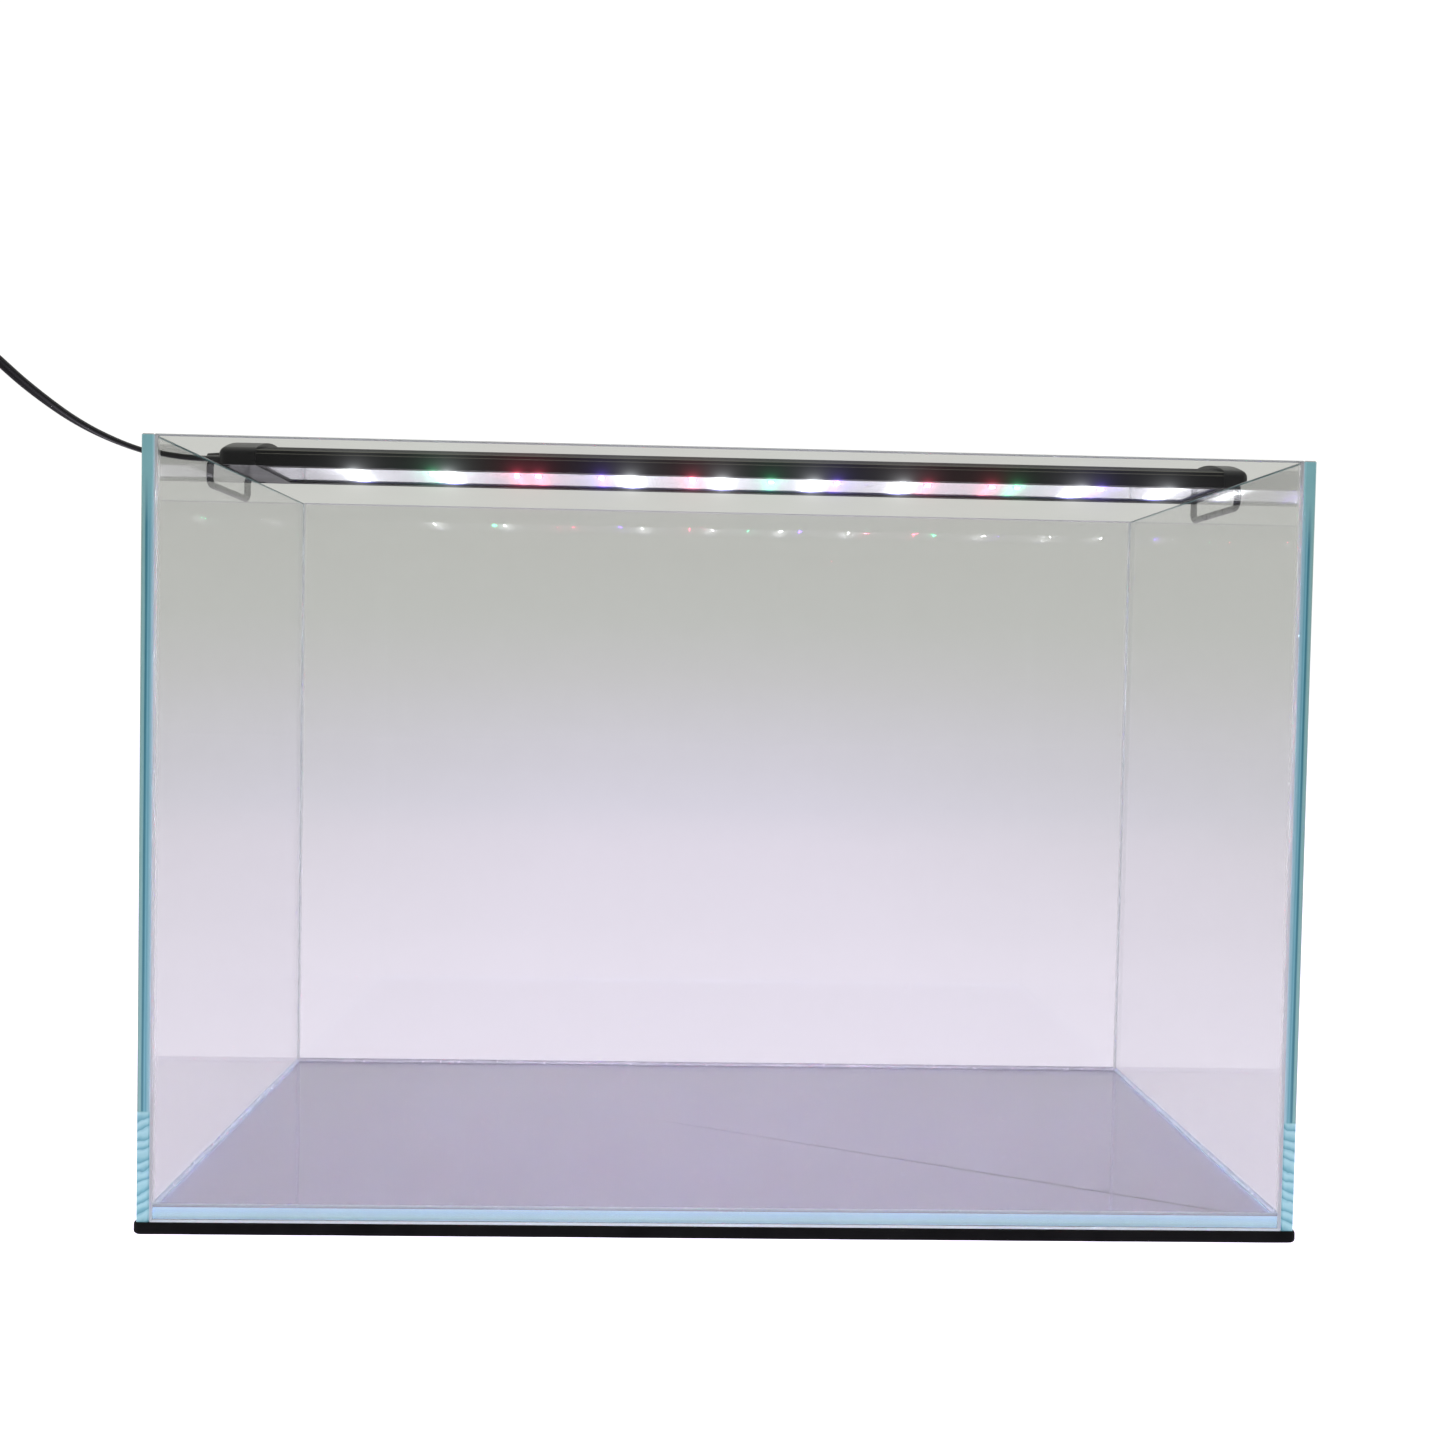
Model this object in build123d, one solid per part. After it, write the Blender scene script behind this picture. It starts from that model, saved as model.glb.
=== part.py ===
from build123d import *
import math
import os

# Rimless glass aquarium on a foam levelling mat, with an extending LED light bar.
# Millimetres. Origin: centre of the mat's underside. +X right, +Y to the back, +Z up.

# ---------------------------------------------------------------- driving dimensions
TANK_L = 600.0            # outside length, X
TANK_D = 300.0            # outside depth, Y
GLASS_H = 402.0           # height of the walls
GLASS_T = 6.35            # glass thickness, quarter-inch float
ARRIS = 0.6               # ground bevel on the long edges of the glass
BOND = 0.5                # thickness of the silicone between two panes
BEAD = 2.0                # leg of the silicone fillet in the inside corners

MAT_OVER = 2.0            # how far the mat stands out past the glass
MAT_T = 6.0
MAT_R = 5.0               # corner radius in plan
MAT_EDGE_R = 1.5          # rounded upper and lower edges

RIM = MAT_T + GLASS_H     # height of the tank's rim

BAR_X0 = -274.0           # visible ends of the aluminium extrusion
BAR_X1 = 292.0
BAR_HALF = 40.0           # half width of the light bar
BAR_SIDE_H = 9.0          # straight part of its side
BAR_CROWN = 15.4          # height of the crown
BAR_WALL = 1.4
WEB_Z0, WEB_Z1 = 6.6, 8.0 # plate inside the bar that carries the board
TROUGH_HALF = 33.0        # half width of the open trough below the plate

CAP_L_LEN = 22.0          # left end cap, with the cord inside
CAP_R_LEN = 15.0          # right end cap
CAP_HALF = 40.7
CAP_CROWN = 17.8
CAP_END_R = 4.6           # rounded outer end

ROD_R = 2.0               # wire of the side brackets
ROD_Y = 36.4
ROD_Z = 3.7               # height of the rods above the rim
ROD_BEND = 4.5
LEG_X = 306.0             # middle of the legs outside the glass
CROSSBAR_Z = -11.0        # middle of the crossbar, from the rim
ROD_IN_L = -200.0         # inner ends of the rods
ROD_IN_R = 218.0
ROD_HOLE_R = 2.35
CHANNEL_R = 2.95          # channel in the extrusion
COLLAR_R = 2.6
COLLAR_LEN = 5.0

LENS_Z0, LENS_Z1 = 1.0, 2.2
GASKET_Z0, GASKET_Z1 = 0.8, 2.4
GASKET_W = 2.2
BOARD_HALF = 15.0
BOARD_T = 1.6

LED_SIZE = 5.0
WHITE_X = [-227.0, -170.6, -59.0, -2.8, 53.5, 109.0, 218.6, 273.0]
RED_X = [-128.0, -114.8, -21.2, 123.4, 163.1]
GREEN_X = [-179.2, 27.2, 178.6]
BLUE_X = [-76.6, 67.7, 230.4]

CORD_R = 2.9
CORD_TOTAL = 1500.0
CORD_Y = -28.0
CORD_Z = 4.9              # above the rim
BOOT_END_X = -305.0

COIL_C = (-450.0, -82.0)
COIL_R = 32.0
COIL_HALF_W = 6.5
COIL_H = 12.4
STUB = 7.0

ADAPTER_X0, ADAPTER_X1 = -499.0, -465.0
ADAPTER_Y0, ADAPTER_Y1 = -36.0, 20.0
ADAPTER_H = 27.0
ADAPTER_SPLIT = 8.0       # plane between the two shells
ADAPTER_WALL = 2.0
BOOT_LEN = 15.0
BOOT_Z = 6.8

os.makedirs("parts", exist_ok=True)


def save(shape, name):
    shape.label = name
    export_step(shape, "parts/%s.step" % name)


def box(x0, x1, y0, y1, z0, z1):
    return Pos((x0 + x1) / 2, (y0 + y1) / 2, (z0 + z1) / 2) * Box(
        abs(x1 - x0), abs(y1 - y0), abs(z1 - z0))


def rod_x(x0, x1, y, z, r):
    """A round bar along X."""
    return Pos((x0 + x1) / 2, y, z) * Rot(0, 90, 0) * Cylinder(r, abs(x1 - x0))


def rod_z(x, y, z0, z1, r):
    return Pos(x, y, (z0 + z1) / 2) * Cylinder(r, abs(z1 - z0))


def group(solids):
    out = []
    for s in solids:
        out.extend(s.solids())
    return Compound(children=out)


def run_along(points, radii, r):
    """A round section along straight runs joined by tangent arcs."""
    line = FilletPolyline(*points, radius=radii)
    start = Plane(origin=line @ 0, z_dir=line % 0)
    tube = sweep(start * Circle(r), path=line)
    return tube, line


def loose_radii(points):
    """Each arc as large as its two runs allow."""
    out = []
    for i in range(1, len(points) - 1):
        a = Vector(*points[i]) - Vector(*points[i - 1])
        b = Vector(*points[i + 1]) - Vector(*points[i])
        turn = math.radians(a.get_angle(b))
        out.append(0.45 * min(a.length, b.length) / math.tan(turn / 2))
    return out


# ---------------------------------------------------------------- mat
mat = box(-TANK_L / 2 - MAT_OVER, TANK_L / 2 + MAT_OVER,
          -TANK_D / 2 - MAT_OVER, TANK_D / 2 + MAT_OVER, 0, MAT_T)
mat = fillet(mat.edges().filter_by(Axis.Z), MAT_R)
mat = fillet(mat.faces().sort_by(Axis.Z)[-1].edges(), MAT_EDGE_R)
mat = chamfer(mat.faces().sort_by(Axis.Z)[0].edges(), 0.8)
save(mat, "base_mat")

# ---------------------------------------------------------------- glass
hx, hy, t = TANK_L / 2, TANK_D / 2, GLASS_T


def pane(x0, x1, y0, y1, z0, z1, edge_filter):
    p = box(x0, x1, y0, y1, z0, z1)
    return chamfer(edge_filter(p), ARRIS)


def top_edges(p):
    return p.faces().sort_by(Axis.Z)[-1].edges()


def wall_edges(p):
    return p.faces().sort_by(Axis.Z)[-1].edges() + p.edges().filter_by(Axis.Z)


# the side panes run the whole depth; the front and back panes are bonded between them
left = pane(-hx, -hx + t, -hy, hy, MAT_T, RIM, wall_edges)
right = pane(hx - t, hx, -hy, hy, MAT_T, RIM, wall_edges)
front = box(-hx + t + BOND, hx - t - BOND, -hy, -hy + t, MAT_T, RIM)
front = chamfer(front.faces().sort_by(Axis.Z)[-1].edges().filter_by(Axis.X), ARRIS)
back = box(-hx + t + BOND, hx - t - BOND, hy - t, hy, MAT_T, RIM)
back = chamfer(back.faces().sort_by(Axis.Z)[-1].edges().filter_by(Axis.X), ARRIS)
bottom = box(-hx + t + BOND, hx - t - BOND, -hy + t + BOND, hy - t - BOND,
             MAT_T, MAT_T + GLASS_T)
save(front, "front_pane")
save(back, "back_pane")
save(left, "left_pane")
save(right, "right_pane")
save(bottom, "bottom_pane")

# ---------------------------------------------------------------- silicone
corners = []
for sx in (-1, 1):
    for sy in (-1, 1):
        x_in = sx * (hx - t)
        x_pane = sx * (hx - t - BOND)
        y_in = sy * (hy - t)
        bond = box(x_in, x_pane, sy * (hy - ARRIS), y_in, MAT_T, RIM - ARRIS)
        tri = make_face(Polyline((x_in, y_in), (x_in - sx * (BEAD + BOND), y_in),
                                 (x_in, y_in - sy * BEAD), close=True))
        bead = extrude(Plane.XY.offset(MAT_T + GLASS_T) * tri, RIM - ARRIS - MAT_T - GLASS_T)
        corners.append(bond + bead)
save(group(corners), "corner_seams")

z_f = MAT_T + GLASS_T
gx, gy = hx - t, hy - t
ring = box(-gx, gx, -gy, gy, MAT_T, z_f) - bottom
bead_outer = box(-gx, gx, -gy, gy, z_f, z_f + BEAD)
lo = Plane.XY.offset(z_f) * Rectangle(2 * (gx - BEAD), 2 * (gy - BEAD))
hi = Plane.XY.offset(z_f + BEAD) * Rectangle(2 * gx, 2 * gy)
bead_ring = bead_outer - loft([lo, hi], ruled=True)
floor_seam = ring + bead_ring
for c in corners:
    floor_seam = floor_seam - c
save(group(floor_seam.solids()), "floor_seam")

# ---------------------------------------------------------------- light bar extrusion


def crowned(half, side_h, crown, fil):
    """Outline across the bar (Y, Z), open crown on straight sides."""
    w = Wire([
        Edge.make_line((0, -half, 0), (0, half, 0)),
        Edge.make_line((0, half, 0), (0, half, side_h)),
        Edge.make_three_point_arc((0, half, side_h), (0, 0, crown), (0, -half, side_h)),
        Edge.make_line((0, -half, side_h), (0, -half, 0)),
    ])
    f = Face(w)
    tops = [v for v in f.vertices() if v.Z > side_h - 0.01]
    return f.fillet_2d(fil, tops)


def along_x(face, x0, x1):
    """The outline pushed from x0 to x1, standing on the rim."""
    return Pos(x0, 0, RIM) * extrude(face, amount=x1 - x0, dir=(1, 0, 0))


outer = along_x(crowned(BAR_HALF, BAR_SIDE_H, BAR_CROWN, 1.6), BAR_X0, BAR_X1)
hollow = along_x(crowned(BAR_HALF - BAR_WALL, BAR_SIDE_H - 0.6,
                         BAR_CROWN - BAR_WALL, 1.2), BAR_X0, BAR_X1)
hollow = hollow - box(BAR_X0, BAR_X1, -BAR_HALF, BAR_HALF, RIM - 1, RIM + WEB_Z1)
housing = outer - hollow
housing = housing - box(BAR_X0, BAR_X1, -TROUGH_HALF, TROUGH_HALF, RIM - 1, RIM + WEB_Z0)
BOSS_Y, BOSS_Z = 24.0, 10.4
for s in (-1, 1):
    housing = housing + rod_x(BAR_X0, BAR_X1, s * BOSS_Y, RIM + BOSS_Z, 2.7)
for s in (-1, 1):
    housing = housing - rod_x(BAR_X0, BAR_X1, s * BOSS_Y, RIM + BOSS_Z, 1.3)
    housing = housing - rod_x(BAR_X0, BAR_X1, s * ROD_Y, RIM + ROD_Z, CHANNEL_R)
    for gz in (8.3, 6.2):                     # two fine grooves along each side
        housing = housing - box(BAR_X0, BAR_X1, s * (BAR_HALF - 0.45), s * (BAR_HALF + 1),
                                RIM + gz - 0.35, RIM + gz + 0.35)
    for k in range(3):                        # shallow cooling grooves beside the crown
        y = 34.0 - 3.2 * k
        housing = housing - box(BAR_X0, BAR_X1, s * y - 0.45, s * y + 0.45,
                                RIM + BAR_SIDE_H + 6.4 * (1 - (y / BAR_HALF) ** 2) - 0.45,
                                RIM + 30)
SCREWS = [(-251.0, 9.0), (-88.0, -9.0), (88.0, 9.0), (251.0, -9.0)]
for x, y in SCREWS:
    housing = housing - rod_z(x, y, RIM + WEB_Z0 - 0.5, RIM + WEB_Z1 + 0.5, 1.3)
save(housing, "light_housing")

# ---------------------------------------------------------------- end caps


def cap(x_in, x_out):
    """Moulded end cap from the extrusion's end x_in to its rounded outer end x_out."""
    s = 1 if x_out > x_in else -1
    prof = crowned(CAP_HALF, 9.6, CAP_CROWN, 4.8)
    body = along_x(prof, min(x_in, x_out), max(x_in, x_out))
    end = body.faces().sort_by(Axis.X)[-1 if s > 0 else 0]
    edges = [e for e in end.edges() if e.center().Z > RIM + 1.0]
    body = fillet(edges, CAP_END_R)
    # spigot in the extrusion's upper hollow
    spigot = box(x_in, x_in - s * 8.0, -20.0, 20.0, RIM + WEB_Z1 + 0.2, RIM + 12.2)
    body = body + spigot
    for q in (-1, 1):
        # rod hole, and the slot that takes the bend of the wire
        body = body - rod_x(x_in - s, x_out + s, q * ROD_Y, RIM + ROD_Z, ROD_HOLE_R)
        slot_in = x_out - s * (6.0 if s < 0 else 10.4)
        body = body - box(slot_in, x_out + s, q * ROD_Y - ROD_HOLE_R, q * ROD_Y + ROD_HOLE_R,
                          RIM - 1, RIM + ROD_Z)
        # fixing screw, deep in its counterbore
        body = body - rod_x(x_in - s, x_out + s, q * BOSS_Y, RIM + BOSS_Z, 1.7)
        head = x_in + s * 6.0
        body = body - rod_x(head, x_out + s, q * BOSS_Y, RIM + BOSS_Z, 3.1)
    return body


left_cap = cap(BAR_X0, BAR_X0 - CAP_L_LEN)
right_cap = cap(BAR_X1, BAR_X1 + CAP_R_LEN)
X_L = BAR_X0 - CAP_L_LEN
left_cap = left_cap - rod_x(X_L - 1, X_L + 6.0, CORD_Y, RIM + CORD_Z, 3.32)
left_cap = left_cap - rod_x(X_L + 5.0, BAR_X0 + 1, CORD_Y, RIM + CORD_Z, 1.9)
save(left_cap, "left_end_cap")
save(right_cap, "right_end_cap")

screws = []
for x_in, s in ((BAR_X0, -1), (BAR_X1, 1)):
    for q in (-1, 1):
        head = rod_x(x_in + s * 6.0, x_in + s * 8.2, q * BOSS_Y, RIM + BOSS_Z, 2.8)
        shank = rod_x(x_in + s * 6.0, x_in - s * 9.0, q * BOSS_Y, RIM + BOSS_Z, 1.25)
        cut = box(x_in + s * 7.2, x_in + s * 9, q * BOSS_Y - 2.2, q * BOSS_Y + 2.2,
                  RIM + BOSS_Z - 0.35, RIM + BOSS_Z + 0.35)
        cut2 = box(x_in + s * 7.2, x_in + s * 9, q * BOSS_Y - 0.35, q * BOSS_Y + 0.35,
                   RIM + BOSS_Z - 2.2, RIM + BOSS_Z + 2.2)
        screws.append(head + shank - cut - cut2)
save(group(screws), "end_cap_screws")

# ---------------------------------------------------------------- lens, gasket, reflector
lens = box(BAR_X0 + GASKET_W, BAR_X1 - GASKET_W, -TROUGH_HALF + GASKET_W, TROUGH_HALF - GASKET_W,
           RIM + LENS_Z0, RIM + LENS_Z1)
save(lens, "lens_cover")
gasket = box(BAR_X0, BAR_X1, -TROUGH_HALF, TROUGH_HALF, RIM + GASKET_Z0, RIM + GASKET_Z1)
gasket = gasket - box(BAR_X0 + GASKET_W, BAR_X1 - GASKET_W, -TROUGH_HALF + GASKET_W,
                      TROUGH_HALF - GASKET_W, RIM, RIM + 4)
save(gasket, "lens_gasket")

leds_all = WHITE_X + RED_X + GREEN_X + BLUE_X
BOARD_Z0 = WEB_Z0 - BOARD_T
tray_pts = [(-32.8, 2.4), (-29, 2.4), (-14, BOARD_Z0 - 0.8), (14, BOARD_Z0 - 0.8), (29, 2.4),
            (32.8, 2.4), (32.8, 3.2), (29, 3.2), (14, BOARD_Z0), (-14, BOARD_Z0), (-29, 3.2),
            (-32.8, 3.2)]
tray = along_x(make_face(Polyline(*[(0, y, z) for y, z in tray_pts], close=True)),
               BAR_X0 + 0.4, BAR_X1 - 0.4)
for k in range(11):                           # cross ribs at the end without lights
    x = -269.5 + 3.4 * k
    tray = tray + box(x - 0.55, x + 0.55, -13.6, 13.6, RIM + BOARD_Z0 - 1.35, RIM + BOARD_Z0 - 0.8)
for x in leds_all:
    tray = tray - box(x - 3.4, x + 3.4, -3.4, 3.4, RIM, RIM + BOARD_Z0 + 0.5)
for x, y in SCREWS:
    tray = tray - rod_z(x, y, RIM, RIM + BOARD_Z0 + 0.5, 2.9)
save(tray, "reflector_tray")

board = box(BAR_X0 + 6, BAR_X1 - 4, -BOARD_HALF, BOARD_HALF, RIM + BOARD_Z0, RIM + WEB_Z0)
for x, y in SCREWS:
    board = board - rod_z(x, y, RIM + BOARD_Z0 - 1, RIM + WEB_Z0 + 1, 1.45)
save(board, "led_board")

board_screws = []
for x, y in SCREWS:
    head = rod_z(x, y, RIM + BOARD_Z0 - 1.3, RIM + BOARD_Z0, 2.4)
    shank = rod_z(x, y, RIM + BOARD_Z0, RIM + WEB_Z1 + 0.6, 1.25)
    cut = box(x - 1.7, x + 1.7, y - 0.3, y + 0.3, RIM + BOARD_Z0 - 1.4, RIM + BOARD_Z0 - 0.6)
    cut2 = box(x - 0.3, x + 0.3, y - 1.7, y + 1.7, RIM + BOARD_Z0 - 1.4, RIM + BOARD_Z0 - 0.6)
    board_screws.append(head + shank - cut - cut2)
save(group(board_screws), "board_screws")


def led(x):
    h = LED_SIZE / 2
    base = box(x - h, x + h, -h, h, RIM + BOARD_Z0 - 1.2, RIM + BOARD_Z0)
    dome = Pos(x, 0, RIM + BOARD_Z0 - 1.2 + 1.0) * Sphere(2.15)
    keep = box(x - h, x + h, -h, h, RIM + BOARD_Z0 - 2.6, RIM + BOARD_Z0 - 0.6)
    return base + (dome & keep)


save(group([led(x) for x in WHITE_X]), "white_leds")
save(group([led(x) for x in RED_X]), "red_leds")
save(group([led(x) for x in GREEN_X]), "green_leds")
save(group([led(x) for x in BLUE_X]), "blue_leds")

# ---------------------------------------------------------------- supply wires in the bar
wires = []
for k, y in enumerate((CORD_Y - 0.85, CORD_Y + 0.85)):
    x_t = -261.0 - 4.0 * (1 - k)
    pts = [(X_L + 6.0, y, RIM + CORD_Z), (x_t, y, RIM + CORD_Z),
           (x_t, -BOARD_HALF - 4.0, RIM + 5.7), (x_t, -BOARD_HALF, RIM + 5.7)]
    w, _ = run_along(pts, [3.0, 2.0], 0.7)
    wires.append(w)
save(group(wires), "lead_wires")

# ---------------------------------------------------------------- wire brackets


def bracket(side, x_inner):
    zc = RIM + ROD_Z
    zb = RIM + CROSSBAR_Z
    xl = side * LEG_X
    pts = [(x_inner, -ROD_Y, zc), (xl, -ROD_Y, zc), (xl, -ROD_Y, zb),
           (xl, ROD_Y, zb), (xl, ROD_Y, zc), (x_inner, ROD_Y, zc)]
    w, _ = run_along(pts, [ROD_BEND] * 4, ROD_R)
    return w


save(bracket(-1, ROD_IN_L), "left_wire_bracket")
save(bracket(1, ROD_IN_R), "right_wire_bracket")


def collars(x0, x1):
    out = []
    for q in (-1, 1):
        c = rod_x(x0, x1, q * ROD_Y, RIM + ROD_Z, COLLAR_R)
        c = c - rod_x(min(x0, x1) - 1, max(x0, x1) + 1, q * ROD_Y, RIM + ROD_Z, ROD_R + 0.02)
        out.append(c)
    return group(out)


save(collars(ROD_IN_L - COLLAR_LEN - 1, ROD_IN_L - 1), "left_rod_collars")
save(collars(ROD_IN_R + 1, ROD_IN_R + COLLAR_LEN + 1), "right_rod_collars")

# ---------------------------------------------------------------- cord gland on the left cap
gz = RIM + CORD_Z
gland = rod_x(X_L, X_L + 6.0, CORD_Y, gz, 3.3)
cone_len = X_L - BOOT_END_X
nose = Pos((X_L + BOOT_END_X) / 2, CORD_Y, gz) * Rot(0, -90, 0) * Cone(3.9, 3.15, cone_len)
gland = gland + nose
save(gland, "cord_gland")

# ---------------------------------------------------------------- cord
ZG = gz
ROUTE = [
    (BOOT_END_X, CORD_Y, ZG),
    (-326.0, CORD_Y, ZG),
    (-351.0, -29.6, 418.6),
    (-378.0, -35.5, 430.5),
    (-402.0, -45.0, 448.5),
    (-417.5, -52.0, 463.5),
    (-430.4, -57.4, 475.8),
    (-443.4, -61.4, 481.2),
    (-457.4, -64.8, 481.2),
    (-470.4, -68.2, 476.0),
    (-480.5, -71.6, 466.3),
    (-486.2, -75.0, 453.5),
    (-487.4, -79.9, 428.0),
    (-487.7, -88.4, 381.0),
    (-487.0, -101.0, 306.0),
    (-485.8, -114.8, 230.0),
    (-484.6, -127.6, 156.0),
    (-483.5, -137.6, 100.0),
    (-482.6, -145.0, 60.0),
    (-482.2, -149.2, 37.3),
    (-482.0, -147.3, 25.6),
    (-482.0, -141.4, 15.1),
    (-482.0, -132.2, 7.4),
    (-482.0, -121.0, 3.4),
    (-482.0, -110.0, 3.4),
]
RADII = loose_radii(ROUTE)
print("cord radii", [round(r, 1) for r in RADII])
whole, path = run_along(ROUTE, RADII, CORD_R)
length = path.length
print("cord tube length %.1f, volume ratio %.4f" % (
    length, whole.volume / (math.pi * CORD_R ** 2 * length)))
SPLIT_X = -450.0
near = (whole & box(SPLIT_X, 0, -400, 200, 0, 700)) - gland
far = whole & box(-700, SPLIT_X, -400, 200, -10, 700)
save(near, "cord_lamp_stretch")
save(far, "cord_floor_stretch")
turns = (CORD_TOTAL - length - 30.0) / (2 * math.pi * COIL_R)
print("turns in the coil %.2f" % turns)

# ---------------------------------------------------------------- coil, tie
cx, cy = COIL_C
coil = rod_z(cx, cy, 0, COIL_H, COIL_R + COIL_HALF_W) - rod_z(cx, cy, -1, COIL_H + 1, COIL_R - COIL_HALF_W)
x_t = cx - COIL_R
stub_in = box(x_t - STUB / 2, x_t + STUB / 2, ROUTE[-1][1], cy, 0, STUB)
stub_out = box(x_t - STUB / 2, x_t + STUB / 2, cy, ADAPTER_Y0 - BOOT_LEN, 0, BOOT_Z + 3.6)
coil = coil + stub_in + stub_out
a = math.radians(-62.0)
tie_at = Pos(cx + COIL_R * math.cos(a), cy + COIL_R * math.sin(a), COIL_H / 2) * Rot(0, 0, math.degrees(a))
tie_out = tie_at * Box(2 * COIL_HALF_W + 1.6, 7.0, COIL_H)
tie_core = tie_at * Box(2 * COIL_HALF_W - 0.4, 20.0, COIL_H - 1.8)
tie = tie_out - tie_core
coil = coil - tie
save(coil, "cord_coil")
save(tie, "coil_tie")

# ---------------------------------------------------------------- plug-in adapter
ax = (ADAPTER_X0 + ADAPTER_X1) / 2
az = ADAPTER_H / 2
shell = box(ADAPTER_X0, ADAPTER_X1, ADAPTER_Y0, ADAPTER_Y1, 0, ADAPTER_H)
shell = fillet(shell.edges().filter_by(Axis.Y), 4.0)
shell = fillet(shell.faces().sort_by(Axis.Y)[0].edges() + shell.faces().sort_by(Axis.Y)[-1].edges(), 2.5)
w = ADAPTER_WALL
cavity = box(ADAPTER_X0 + w, ADAPTER_X1 - w, ADAPTER_Y0 + w, ADAPTER_Y1 - w, w, ADAPTER_H - w)
cavity = fillet(cavity.edges().filter_by(Axis.Y), 2.0)
shell = shell - cavity
x_b = -482.0
boot_hole = Pos(x_b, ADAPTER_Y0 + 1, BOOT_Z) * Rot(90, 0, 0) * Cylinder(3.4, 8)
rear = (shell & box(-600, -400, -100, ADAPTER_SPLIT, -1, 60)) - boot_hole
front_s = shell & box(-600, -400, ADAPTER_SPLIT, 100, -1, 60)
blades = []
for q in (-1, 1):
    bx = ax + q * 6.35
    bl = box(bx - 0.75, bx + 0.75, ADAPTER_Y1 - w - 3.0, ADAPTER_Y1 + 16.0, az - 3.15, az + 3.15)
    tip = bl.faces().sort_by(Axis.Y)[-1].edges().filter_by(Axis.X)
    bl = chamfer(tip, 1.2)
    bl = bl - Pos(bx, ADAPTER_Y1 + 12.0, az) * Rot(0, 90, 0) * Cylinder(1.4, 4)
    blades.append(bl)
    front_s = front_s - box(bx - 0.75, bx + 0.75, ADAPTER_Y1 - w - 1, ADAPTER_Y1 + 1, az - 3.15, az + 3.15)
save(front_s, "adapter_front_shell")
save(rear, "adapter_rear_shell")
save(group(blades), "adapter_blades")

pcb = box(ADAPTER_X0 + w + 1, ADAPTER_X1 - w - 1, ADAPTER_Y0 + 12, ADAPTER_Y1 - w - 4, 10.0, 11.4)
core = box(ax - 9, ax + 9, -14, 6, 11.4, ADAPTER_H - w - 1)
can = rod_z(ax - 8, -20.5, 11.4, 22.0, 3.6)
can2 = rod_z(ax + 6, -20.5, 11.4, 20.0, 3.2)
save(pcb + core + can + can2, "adapter_board")

boot = Pos(x_b, ADAPTER_Y0 - BOOT_LEN / 2, BOOT_Z) * Rot(90, 0, 0) * Cone(4.6, 3.3, BOOT_LEN)
boot = boot + Pos(x_b, ADAPTER_Y0 + 1.0, BOOT_Z) * Rot(90, 0, 0) * Cylinder(3.38, 2.1)
boot = boot + Pos(x_b, ADAPTER_Y0 + 3.0, BOOT_Z) * Rot(90, 0, 0) * Cylinder(4.3, 2.0)
save(boot, "adapter_boot")
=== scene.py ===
import math
import random

import bmesh
import bpy
from mathutils import Matrix, Vector


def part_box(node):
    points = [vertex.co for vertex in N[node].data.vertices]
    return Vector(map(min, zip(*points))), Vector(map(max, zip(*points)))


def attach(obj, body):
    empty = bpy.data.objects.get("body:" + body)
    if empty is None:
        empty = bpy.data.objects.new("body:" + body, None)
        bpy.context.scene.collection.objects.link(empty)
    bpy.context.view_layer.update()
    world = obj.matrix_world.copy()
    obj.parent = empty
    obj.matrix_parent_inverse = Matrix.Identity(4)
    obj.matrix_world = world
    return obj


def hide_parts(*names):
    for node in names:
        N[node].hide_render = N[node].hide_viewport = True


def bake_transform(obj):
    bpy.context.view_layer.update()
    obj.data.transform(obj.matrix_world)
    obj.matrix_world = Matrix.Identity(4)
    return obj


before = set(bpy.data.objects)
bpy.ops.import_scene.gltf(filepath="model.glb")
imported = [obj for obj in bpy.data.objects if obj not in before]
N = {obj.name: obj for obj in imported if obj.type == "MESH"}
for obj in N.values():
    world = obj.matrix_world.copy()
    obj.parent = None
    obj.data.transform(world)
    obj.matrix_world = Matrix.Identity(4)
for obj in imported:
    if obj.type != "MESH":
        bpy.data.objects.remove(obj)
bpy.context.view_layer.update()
scene = bpy.context.scene
random.seed(7)

# ------------------------------------------------------------------ camera
cam_data = bpy.data.cameras.new("camera")
cam_data.sensor_width = 36.0
cam_data.sensor_fit = "HORIZONTAL"
cam_data.lens = 36.2158
cam_data.clip_end = 50
cam = bpy.data.objects.new("camera", cam_data)
scene.collection.objects.link(cam)
right = Vector((0.9993888, -0.0292712, 0.019111))
forward = Vector((0.029837, 0.9991038, -0.0300232))
up = Vector((-0.0182151, 0.0305751, 0.9993665))
m = Matrix.Identity(4)
for i in range(3):
    m[i][0], m[i][1], m[i][2] = right[i], up[i], -forward[i]
    m[i][3] = (-0.0266195, -0.8947108, 0.289753)[i]
cam.matrix_world = m
scene.camera = cam

scene.view_settings.view_transform = "Standard"
scene.view_settings.look = "None"
scene.view_settings.exposure = 0.0
scene.view_settings.gamma = 1.0
# glass behind glass needs long light paths
scene.cycles.max_bounces = 24
scene.cycles.transmission_bounces = 24
scene.cycles.transparent_max_bounces = 32
scene.cycles.glossy_bounces = 10
scene.cycles.diffuse_bounces = 4
scene.cycles.caustics_reflective = True
scene.cycles.caustics_refractive = True
scene.cycles.sample_clamp_indirect = 120.0

# ------------------------------------------------------------------ small helpers


def link(o):
    scene.collection.objects.link(o)
    return o


def new_mat(name):
    mat = bpy.data.materials.new(name)
    mat.use_nodes = True
    nt = mat.node_tree
    nt.nodes.clear()
    out = nt.nodes.new("ShaderNodeOutputMaterial")
    return mat, nt, out


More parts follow.
